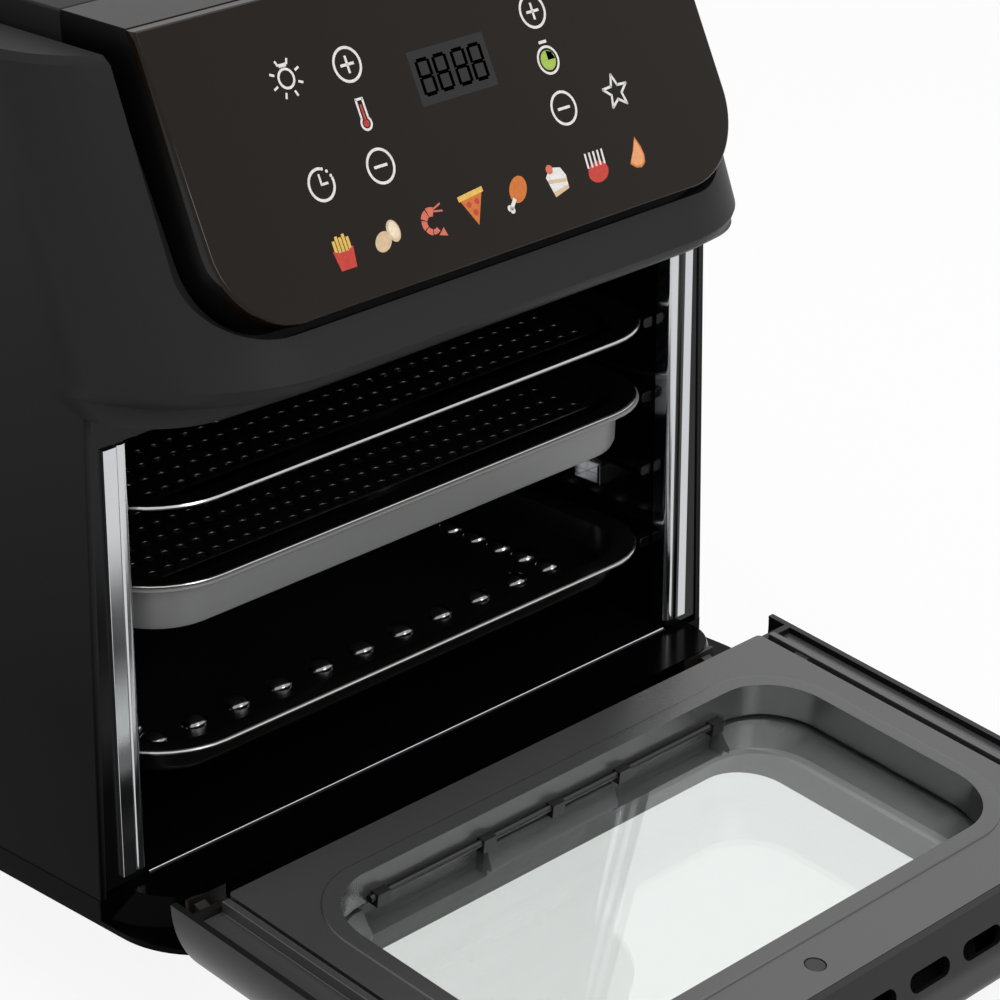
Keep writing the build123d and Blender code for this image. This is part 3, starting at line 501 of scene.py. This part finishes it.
def draw_pizza(at):
    """A slice with a crust and three red dots."""
    panel_print.fill(at + [(-5.2, 3.4), (5.0, 4.4), (-0.4, -5.6)], "orange")
    panel_print.stroke(at + [(-5.4, 4.2), (5.2, 5.2)], 1.8, "yellow", 1)
    for dot in ((-1.9, 1.6), (1.8, 1.9), (0.0, -1.4)):
        panel_print.disc(at + dot, 1.05, "red", layer=2)


def draw_drumstick(at):
    """Meat on a bone with two knuckles."""
    panel_print.disc(at + (1.3, 1.3), 4.9, "orange", 0.74, 45)
    panel_print.stroke(at + [(-1.6, -1.6), (-4.0, -4.0)], 1.5, "white", 1)
    panel_print.disc(at + (-4.7, -3.8), 1.1, "white", layer=1)
    panel_print.disc(at + (-3.8, -4.7), 1.1, "white", layer=1)


def draw_cake(at):
    """A wedge in layers with a berry on its corner."""
    panel_print.fill(at + [(-4.6, 1.9), (-1.6, 4.8), (3.0, 3.8), (4.6, 0.8), (4.2, -3.6),
                           (-2.8, -5.2)], "white")
    panel_print.fill(at + [(-4.3, 0.9), (4.5, -0.1), (4.4, -1.3), (-4.0, -0.4)], "beige", 1)
    panel_print.fill(at + [(-3.2, -3.4), (4.2, -2.4), (4.2, -3.6), (-2.8, -5.2)], "beige", 1)
    panel_print.disc(at + (-2.0, 4.2), 1.6, "coral", layer=1)


def draw_ribs(at):
    """A rack of meat with five bare bones."""
    panel_print.disc(at + (0.0, -1.6), 4.9, "red", 0.72, 8)
    for i in range(5):
        left = 2.0 * i - 4.0
        panel_print.stroke(at + [(left, 0.6), (left + 0.3, 5.2)], 0.85, "white", 1)


def draw_drop(at):
    """A leaning drop with a paler heart of the same outline."""
    outline = np.array([(1.6, 5.8), (-0.9, 1.6), (-4.1, -2.6), (-1.8, -4.5), (0.8, -4.9),
                        (2.9, -3.7), (3.7, -1.2), (3.2, 2.2)])
    panel_print.fill(at + outline, "orange")
    panel_print.fill(at + 0.86 * outline, "peach", 1)


def draw_ring_key(at, signs):
    """A ring round a minus, or round a plus where the upright is drawn too."""
    panel_print.arc(at, 6.0, line, "white")
    for reach in signs:
        panel_print.stroke([at - reach, at + reach], line, "white")


def draw_timer(at):
    """An open ring with two hands and three dots in its gap."""
    panel_print.arc(at, 5.6, line, "white", 75, 375)
    panel_print.stroke(at + [(0, 3.2), (0, 0), (2.6, 0)], 0.8, "white")
    for angle in (22, 45, 68):
        panel_print.disc(at + 5.1 * spoke(angle), 0.55, "white", layer=1)


def draw_star(at):
    """The outline of a star with five points, whose inner corners lie less far out."""
    reach = np.where(np.arange(11) % 2 == 0, 6.0, 2.6)
    panel_print.stroke(at + reach[:, None] * spoke(90 + 36 * np.arange(11)), 0.9, "white")


def draw_thermometer(at):
    """A round-footed tube with a red column."""
    bulb = at - (0, 3.0)
    panel_print.arc(bulb, 2.5, 0.8, "white", -235, 55)
    panel_print.stroke(at + [(-1.4, -1.0), (-1.4, 5.0), (1.4, 5.0), (1.4, -1.0)], 0.8, "white")
    panel_print.disc(bulb, 1.2, "red")
    panel_print.stroke([bulb, bulb + (0, 6.0)], 0.8, "red")


def draw_clock(at):
    """A stopwatch with a button and a green face that is a quarter used up."""
    hub = at - (0, 0.5)
    panel_print.arc(hub, 5.0, 0.85, "white")
    panel_print.disc(hub, 3.4, "green")
    panel_print.fill(hub + [(0, 0), (0, 3.4), (2.4, 2.4), (3.4, 0)], "black", 1)
    panel_print.stroke(at + [(-1.5, 5.8), (1.5, 5.8)], 1.0, "white")


def draw_lamp(at):
    """A bulb with a cap and eight rays."""
    panel_print.arc(at, 3.5, 0.85, "white")
    panel_print.stroke(at + [(-1.2, 4.3), (1.2, 4.3)], 1.2, "white")
    for i in range(8):
        ray = spoke(45 * i + 22.5)
        panel_print.stroke([at + 4.9 * ray, at + 6.4 * ray], 0.8, "white")


def draw_power(at):
    """A ring that is open at the top, with a bar in the gap."""
    panel_print.arc(at, 5.4, line, "white", 120, 420)
    panel_print.stroke([at, at + (0, 5.6)], line, "white")


def draw_digits():
    """The smoked window with four unlit digits of seven bars each."""
    panel_print.fill([(-17.4, 54.0), (17.4, 54.0), (17.4, 72.2), (-17.4, 72.2)], "window")
    for x in (-11.8, -4.2, 4.2, 11.8):
        for level in (57.4, 63.1, 68.8):
            panel_print.stroke([(x - 1.9, level), (x + 1.9, level)], 1.3, "black", 1)
        for side in (x - 2.6, x + 2.6):
            for level in (57.9, 63.6):
                panel_print.stroke([(side, level), (side, level + 4.6)], 1.3, "black", 1)


panel_print = Print()
line = 0.95
food_pitch = 19.49
food_up = 18.1
for i, draw in enumerate((draw_fries, draw_eggs, draw_shrimp, draw_pizza, draw_drumstick,
                          draw_cake, draw_ribs, draw_drop)):
    draw(np.array([(i - 3.5) * food_pitch, food_up]))
key_x = 42.5
edge_x = 3.5 * food_pitch
minus_up = 40.2
middle_up = 57.4
plus_up = 73.9
lamp_up = 74.9
power_up = 82.9
flat_stroke = np.array([2.6, 0.0])
upright_stroke = np.array([0.0, 2.6])
for x in (-key_x, key_x):
    draw_ring_key(np.array([x, minus_up]), [flat_stroke])
    draw_ring_key(np.array([x, plus_up]), [flat_stroke, upright_stroke])
draw_timer(np.array([-edge_x, minus_up]))
draw_star(np.array([edge_x, minus_up]))
draw_thermometer(np.array([-key_x, middle_up]))
draw_clock(np.array([key_x, middle_up]))
draw_lamp(np.array([-edge_x, lamp_up]))
draw_power(np.array([edge_x, power_up]))
draw_digits()
symbols = new_piece("panel_symbols", panel_print.points, panel_print.faces)
for paint in inks.values():
    symbols.data.materials.append(paint.material)
symbols.data.polygons.foreach_set("material_index", panel_print.inks)
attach(symbols, "oven")

# Mouth frame
# A flange of black enamelled sheet steel stands round the mouth of the cavity: two legs and a
# top bar.
frame_black = moulded("frame_black", (0.003, 0.003, 0.003), 0.2, 0.2, grain=0.000004)
smooth_copy("front_frame", "mouth_frame", frame_black, 0.0003)


# Bright strips
# A folded chromed strip trims each side of the mouth: a flat outer face, a crease painted black
# for its shade, and a lip that rolls round into the cavity wall.
def folded_trim(name, crease_low, crease_high):
    """Bright metal with painted shade in its crease: black and not metallic between two distances
    from the middle.
    """
    paint = Paint(name)
    apart = paint.across()
    edge = 0.00015
    # Painted shade: the crease between the two distances is coloured black and made non-metal.
    inside = ((apart - crease_low) / edge).clamp() * ((crease_high - apart) / edge).clamp()
    shine = 1.0 - inside
    return paint.feed(Metallic=shine, Roughness=0.1 + paint.noise(60.0) * 0.08,
                      Base_Color=paint.ramp(shine, [(0.0, (0.002, 0.002, 0.002)),
                                                    (1.0, (0.6, 0.61, 0.63))]))


left_trim = folded_trim("left_trim", crease_low=0.1338, crease_high=0.1346)
right_trim = folded_trim("right_trim", crease_low=0.1323, crease_high=0.1359)
smooth_copy("chrome_strip_left", "bright_strip_left", left_trim, 0.0002)
smooth_copy("chrome_strip_right", "bright_strip_right", right_trim, 0.0002)

# Wall bracket
# A small U of bright steel, open upwards, is fixed to the right wall of the cavity just inside
# the mouth.
chrome = Paint("chrome_trim", Base_Color=(0.62, 0.63, 0.65), Metallic=1.0)
chrome.feed(Roughness=0.1 + chrome.noise(60.0) * 0.08)
smooth_copy("wall_bracket", "bright_bracket", chrome, 0.0002)

# Cavity
# The cavity is folded from sheet steel with a black glossy enamel, and has runners for the trays
# pressed into its side walls.
enamel = Paint("black_enamel", Base_Color=(0.0022, 0.0022, 0.0022), Specular_IOR_Level=0.28)
enamel.feed(Roughness=0.11 + enamel.noise(20.0, 3.0) * 0.05,
            Normal=enamel.bumped(enamel.noise(240.0), 0.00001))
smooth_copy("cavity_liner", "cavity_walls", enamel)


# Cavity lip
# The sheet of the cavity is folded over along the lower front edge. The thin bead this makes is
# given bright chrome: a painted highlight along the lip.
def lip_highlight_rod():
    """A rod with eight sides across the mouth, closed at both ends.

    A side's place is the rod's middle plus its radius times the cosine and sine of the angle.
    """
    half_length, radius = 0.1286, 0.0005
    proud, above_strip = 0.0002, 0.0115
    lip_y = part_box("front_frame")[0].y - proud
    lip_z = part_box("hinge_cover")[0].z + above_strip
    sides = 8
    angle = np.radians(45 * np.arange(sides))
    ring = np.column_stack([np.zeros(sides), lip_y + radius * np.cos(angle),
                            lip_z + radius * np.sin(angle)])
    reach = np.array([half_length, 0.0, 0.0])
    points = np.concatenate([ring - reach, ring + reach])
    here = np.arange(sides)
    ahead = np.roll(here, -1)
    faces = np.column_stack([here, sides + here, sides + ahead, ahead]).tolist()
    faces += [here.tolist(), (sides + here)[::-1].tolist()]
    lip = new_piece("cavity_lip", points, faces)
    # Painted highlight: the bead of the black enamelled sheet gets bright chrome so that it shows
    # as a bright line.
    finish(lip, chrome, 50)
    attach(lip, "oven")


lip_highlight_rod()

# Heater and fans
# A heating tube and a slotted steel guard on three posts hang under the ceiling. The motor above
# turns the hot air fan and, on the same shaft, a small fan that cools the motor. A probe through
# the back wall feels the heat.
dark_steel = Paint("dark_steel", Base_Color=(0.07, 0.065, 0.06), Metallic=1.0)
dark_steel.feed(Roughness=0.35 + dark_steel.noise(90.0) * 0.2)
for node in ("fan_guard", "heater_coil", "fan_impeller", "fan_shaft", "fan_motor",
             "thermostat_probe", "cooling_fan"):
    smooth_copy(node, node + "_piece", dark_steel, 0.0)


# Oven lamp
# A white ceramic cup holds the lamp outside the right wall of the cavity. A domed glass, seated
# in the wall, covers it.
def clear_pane(name, tint):
    """Clear toughened glass: a pane that lets light through and mirrors at a glance."""
    paint = Paint(name, Base_Color=tint, Transmission_Weight=1.0, IOR=1.5)
    return paint.feed(Roughness=paint.noise(8.0) * 0.008)


white_ceramic = Paint("white_ceramic", Base_Color=(0.6, 0.58, 0.54))
white_ceramic.feed(Roughness=0.3 + white_ceramic.noise(120.0) * 0.1)
smooth_copy("lamp_holder", "lamp_cup", white_ceramic, 0.0)
lamp_glass = clear_pane("lamp_glass", (0.9, 0.95, 0.95))
smooth_copy("lamp_lens", "lamp_cover", lamp_glass, 0.0)


# Racks
# Two shallow racks pressed from sheet steel with a dark coat. Their floors are full of small
# dished holes, in rows of two depths, and the top of each rolled rim gets bright metal, a painted
# highlight.
def rounded_loop(half, front, back, radius):
    """Plan of a rounded rectangle, anticlockwise: 11 points a corner and 5 along each side.

    A corner's point is the centre of its arc plus the radius times the cosine and sine of the
    angle. A side's points cut the way to the next corner in six equal parts.
    """
    centre = np.array([(half - radius, front + radius), (half - radius, back - radius),
                       (radius - half, back - radius), (radius - half, front + radius)])
    start = np.array([270, 0, 90, 180])[:, None]
    angle = np.radians(start + 9 * np.arange(11))
    rim = np.stack([np.cos(angle), np.sin(angle)], axis=-1)
    arcs = centre[:, None] + radius * rim
    ends = arcs[:, -1:]
    ways = np.roll(arcs[:, :1], -1, axis=0) - ends
    sides = ends + ways * np.arange(1, 6)[:, None] / 6
    return np.concatenate([arcs, sides], axis=1).reshape(-1, 2)


def bands(rings, size):
    """Quads between closed rings of equally many points, numbered on ring after ring."""
    start = size * np.arange(rings - 1)[:, None]
    here = np.arange(size)
    ahead = np.roll(here, -1)
    quads = [start + here, start + ahead, start + size + ahead, start + size + here]
    return np.stack(quads, axis=-1).reshape(-1, 4)


def sheet_piece(name, points, faces, paint, body, thick=0.0, replaced=None):
    """A surface made into a piece, with the thickness of its sheet where it has one."""
    piece = new_piece(name, points, faces)
    shape = bmesh.new()
    shape.from_mesh(piece.data)
    bmesh.ops.remove_doubles(shape, verts=shape.verts, dist=touching)
    shape.to_mesh(piece.data)
    shape.free()
    finish(piece, paint, 35)
    if thick:
        solid = piece.modifiers.new("sheet", "SOLIDIFY")
        solid.thickness = thick
        solid.offset = -1.0
    if replaced:
        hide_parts(replaced)
    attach(piece, body)


hole_pitch_x, hole_pitch_y = 0.00705, 0.01005
hole_columns, hole_rows = 30, 17
dish_depths = np.array([0.0002, 0.0005])
hole_lip = 0.0003


def dished_holes(middle_y, floor_z):
    """Points and faces of a floor full of holes, each in a rectangular cell of its own.

    A cell has four rings of 12 points round its centre: its outline, the edge of the dish, the
    bottom of the dish, and the hole. A ring's point is the centre plus a radius times the
    cosine and sine of the angle. For the outline that radius is half the pitch divided by the
    larger of the two, which puts the point on the rectangle.
    """
    column, row = np.divmod(np.arange(hole_columns * hole_rows), hole_rows)
    centre_x = (column + 0.5) * hole_pitch_x - hole_columns * hole_pitch_x / 2
    centre_y = middle_y + (row + 0.5) * hole_pitch_y - hole_rows * hole_pitch_y / 2
    angle = np.radians(15 + 30 * np.arange(12))
    cosine, sine = np.cos(angle), np.sin(angle)
    outline = 0.5 / np.maximum(abs(cosine), abs(sine))
    rounds = np.array([0.0027, 0.0021, 0.0017])[:, None] * np.ones(12)
    dish = dish_depths[row % len(dish_depths)]
    depth = np.column_stack([0 * dish, 0 * dish, dish, dish + hole_lip])
    cells = np.empty((len(column), 4, 12, 3))
    cells[..., 0] = centre_x[:, None, None] + np.vstack([hole_pitch_x * outline, rounds]) * cosine
    cells[..., 1] = centre_y[:, None, None] + np.vstack([hole_pitch_y * outline, rounds]) * sine
    cells[..., 2] = floor_z - depth[..., None]
    first = 4 * 12 * np.arange(len(column))[:, None, None]
    return cells.reshape(-1, 3), (first + bands(4, 12)).reshape(-1, 4)


tray_corner = 0.0325


def pressed_tray(name, node, profile, paint, body, holes=False):
    """A tray lofted through plan loops, one for each (inset, drop) point of its profile.

    Insets count from the rim's outer edge and drops from its top. The floor inside the last
    loop is plain, or runs out to a rectangle of holes.
    """
    least_corner = 0.004
    sheet = 0.0007
    low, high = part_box(node)
    loops = []
    for inset, drop in profile:
        plan = rounded_loop(high.x - inset, low.y + inset, high.y - inset,
                            max(tray_corner - inset, least_corner))
        loops.append(np.column_stack([plan, np.full(len(plan), high.z - drop)]))
    size = len(loops[0])
    if holes:
        middle_y = (low.y + high.y) / 2
        reach_x = hole_columns * hole_pitch_x / 2
        reach_y = hole_rows * hole_pitch_y / 2
        collar = loops[-1].copy()
        collar[:, 0] = np.clip(collar[:, 0], -reach_x, reach_x)
        collar[:, 1] = np.clip(collar[:, 1], middle_y - reach_y, middle_y + reach_y)
        loops.append(collar)
        cells, cell_faces = dished_holes(middle_y, collar[0, 2])
        points = np.concatenate(loops + [cells])
        faces = bands(len(loops), size).tolist() + (size * len(loops) + cell_faces).tolist()
    else:
        points = np.concatenate(loops)
        faces = bands(len(loops), size).tolist() + [list(range(len(points) - size, len(points)))]
    sheet_piece(name, points, faces, paint, body, sheet, node)


def rolled_rim(bead):
    """Profile of a rolled bead, from under its outer edge up to its top and a little beyond.

    Inset is half the bead times one plus the cosine of the angle, and drop is half the bead
    times one less the sine.
    """
    angle = np.radians(210 - 30 * np.arange(6))
    return list(zip(bead / 2 * (1 + np.cos(angle)), bead / 2 * (1 - np.sin(angle))))


def rim_highlight_wire(name, node, width, body):
    """A painted highlight on a rolled rim: a bright metal wire with eight sides along the tray's
    outline.

    A point is the outline's, plus the wire's radius times the cosine of the angle outwards and
    times its sine upwards. Outwards is the way from the point behind to the point ahead, turned
    right.
    """
    low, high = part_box(node)
    loop = rounded_loop(high.x - width, low.y + width, high.y - width, tray_corner - width)
    run = np.roll(loop, -1, axis=0) - np.roll(loop, 1, axis=0)
    run /= np.linalg.norm(run, axis=1)[:, None]
    outwards = np.column_stack([run[:, 1], -run[:, 0]])
    angle = np.radians(45 * np.arange(8))
    points = np.empty((len(loop), 8, 3))
    points[..., :2] = loop[:, None] + width * np.cos(angle)[:, None] * outwards[:, None]
    points[..., 2] = high.z - width + width * np.sin(angle)
    here = 8 * np.arange(len(loop))[:, None]
    ahead = np.roll(here, -1, axis=0)
    side = np.arange(8)
    after = np.roll(side, -1)
    quads = [here + side, ahead + side, ahead + after, here + after]
    sheet_piece(name, points.reshape(-1, 3), np.stack(quads, axis=-1).reshape(-1, 4).tolist(),
                bare_rim, body)


tray_coat = Paint("tray_coat", Base_Color=(0.004, 0.004, 0.004), Specular_IOR_Level=0.9)
tray_coat.feed(Roughness=0.2 + tray_coat.noise(30.0) * 0.05,
               Normal=tray_coat.bumped(tray_coat.noise(420.0), 0.000008))
# Painted highlight: bright metal instead of the dark coat along the top of each rolled rim, for
# its bright line.
bare_rim = Paint("bare_rim", Base_Color=(0.55, 0.54, 0.53), Metallic=1.0)
bare_rim.feed(Roughness=0.16 + bare_rim.noise(80.0) * 0.1)
rim = rolled_rim(0.0022)
rack_profile = rim + [(0.0024, 0.0004), (0.003, 0.0007), (0.0085, 0.0007), (0.0092, 0.0010),
                      (0.0096, 0.0018), (0.0098, 0.0040), (0.0104, 0.0050), (0.0118, 0.0056)]
hidden_rim_points = 3
pressed_tray("perforated_upper_rack", "upper_rack", rack_profile, tray_coat, "upper_tray",
             holes=True)
rim_highlight_wire("upper_rack_edge", "upper_rack", 0.0009, "upper_tray")
pressed_tray("perforated_middle_rack", "middle_rack", rack_profile[hidden_rim_points:], tray_coat,
             "middle_tray", holes=True)
rim_highlight_wire("middle_rack_edge", "middle_rack", 0.00045, "middle_tray")

# Deep pan
# A deeper pan, pressed from sheet steel with a satin grey coat and a rolled rim. The middle rack
# lies in that rim.
pan_grey = Paint("pan_grey", Base_Color=(0.19, 0.19, 0.192), Specular_IOR_Level=0.5)
pan_grey.feed(Roughness=0.34 + pan_grey.noise(18.0, 3.0) * 0.08,
              Normal=pan_grey.bumped(pan_grey.noise(700.0), 0.00001))
pan_profile = rolled_rim(0.0016) + [(0.0018, 0.0006), (0.0080, 0.0006), (0.0088, 0.0012),
                                    (0.0094, 0.0165), (0.0102, 0.0182), (0.0120, 0.0190),
                                    (0.0160, 0.0192)]
pressed_tray("grey_deep_pan", "deep_pan", pan_profile, pan_grey, "middle_tray")

# Drip tray
# A low tray of the same dark coated sheet steel, pressed with a row of domes along each edge,
# which get a brighter metal coat as a painted highlight. It catches what drips off the racks.
drip_profile = rim + [(0.0024, 0.0004), (0.003, 0.0006), (0.0085, 0.0006), (0.0092, 0.0010),
                      (0.0098, 0.0100), (0.0112, 0.0122), (0.0135, 0.0130)]
pressed_tray("domed_drip_tray", "drip_tray", drip_profile, tray_coat, "lower_tray")
rim_highlight_wire("drip_tray_edge", "drip_tray", 0.0007, "lower_tray")


def highlighted_domes():
    """Domes in a row along the front and back of the floor, and in a row up each side.

    A dome has five rings of 16 points and a tip. Its radius is the dome's times the cosine of
    the ring's tilt, and its height the dome's times the sine.
    """
    radius, height = 0.005, 0.003
    inset, pitch = 0.036, 0.02
    side_x, side_pitch, side_count = 0.098, 0.0128, 12
    low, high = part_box("drip_tray")
    floor_z = high.z - drip_profile[-1][1]
    spots = [(pitch * i, y, floor_z) for i in range(-4, 5)
             for y in (low.y + inset, high.y - inset)]
    spots += [(x, low.y + inset + side_pitch * k, floor_z) for x in (-side_x, side_x)
              for k in range(side_count)]
    tilt = np.radians(18 * np.arange(5))[:, None]
    around = np.radians(22.5 * np.arange(16))
    rings = np.stack([radius * np.cos(tilt) * np.cos(around),
                      radius * np.cos(tilt) * np.sin(around),
                      height * np.sin(tilt) * np.ones(16)], axis=-1)
    dome = np.vstack([rings.reshape(-1, 3), (0, 0, height)])
    tip = len(dome) - 1
    top_ring = tip - 16 + np.arange(16)
    fan = np.column_stack([top_ring, np.roll(top_ring, -1), np.full(16, tip)])
    faces = []
    for k in range(len(spots)):
        faces += (len(dome) * k + bands(5, 16)).tolist() + (len(dome) * k + fan).tolist()
    points = np.array(spots)[:, None] + dome
    # Painted highlight: the domes get a bright metal coat, brighter than the tray's own dark
    # coat, for their glints.
    dome_coat = Paint("dome_coat", Base_Color=(0.30, 0.30, 0.30), Metallic=1.0)
    dome_coat.feed(Roughness=0.12 + dome_coat.noise(200.0) * 0.05)
    sheet_piece("tray_domes", points.reshape(-1, 3), faces, dome_coat, "lower_tray")


highlighted_domes()

# Door shell
# A deep black plastic shell with vents in its top wall. The grip is a bar of the same plastic in
# a recess of the front, which lies underneath while the door is open.
door_black = moulded("door_black", (0.005, 0.005, 0.005), 0.36, 0.3)
smooth_copy("door_shell", "door_shell_moulding", door_black, 0.0008)
smooth_copy("door_handle", "grip_bar", door_black, 0.0005)

# Inner moulding
# A dark grey plastic moulding closes the inner side of the door round the window, with a raised
# bead. A ribbed ledge runs along each side of it, and black screws join it to the shell.
inner_grey = moulded("inner_grey", (0.046, 0.046, 0.047), 0.26, 0.95, grain=0.00001)
smooth_copy("door_inner_frame", "inner_moulding", inner_grey)
for side in ("left", "right"):
    smooth_copy(f"door_side_trim_{side}", f"side_ledge_{side}", inner_grey, 0.0003)
screw_black = Paint("screw_black", Base_Color=(0.004, 0.004, 0.004))
screw_black.feed(Roughness=0.3 + screw_black.noise(300.0) * 0.1)
smooth_copy("door_screws", "door_screw_set", screw_black, 0.0001)

# Window
# Two panes of clear toughened glass with a chamber between them, which has a slanted wall of grey
# plastic with two pockets. A rubber seal lies under the bead, and a clipped wire holds the glass.
well_grey = moulded("well_grey", (0.13, 0.13, 0.132), 0.35, 0.6)
smooth_copy("window_surround", "window_chamber", well_grey, 0.0003)
seal = moulded("seal_rubber", (0.004, 0.004, 0.004), 0.6, 0.2)
smooth_copy("glass_gasket", "window_seal", seal, 0.0)
pane_paint = clear_pane("window_glass", (0.94, 0.96, 0.95))
smooth_copy("inner_glass", "inner_pane", pane_paint, 0.0)
smooth_copy("outer_glass", "outer_pane", pane_paint, 0.0)
smooth_copy("glass_retainer", "retaining_wire", screw_black, 0.0001)

# Hinges
# On each side a steel bracket on the base and a steel arm in the door meet at a pin. A notched
# plastic strip covers the front of the pedestal behind the open door.
for side in ("left", "right"):
    smooth_copy(f"hinge_bracket_{side}", f"hinge_bracket_{side}_piece", dark_steel, 0.0)
    smooth_copy(f"hinge_arm_{side}", f"hinge_lever_{side}", dark_steel, 0.0002)
smooth_copy("hinge_pins", "hinge_bolts", screw_steel, 0.0)
smooth_copy("hinge_cover", "hinge_strip", base_black, 0.0003)

# Door switch
# A reed sensor behind the right leg of the mouth frame feels a magnet in the door, so that the
# oven stops as it is opened.
smooth_copy("door_sensor", "door_sensor_piece", dark_steel, 0.0)
smooth_copy("door_magnet", "switch_magnet", dark_steel, 0.0)
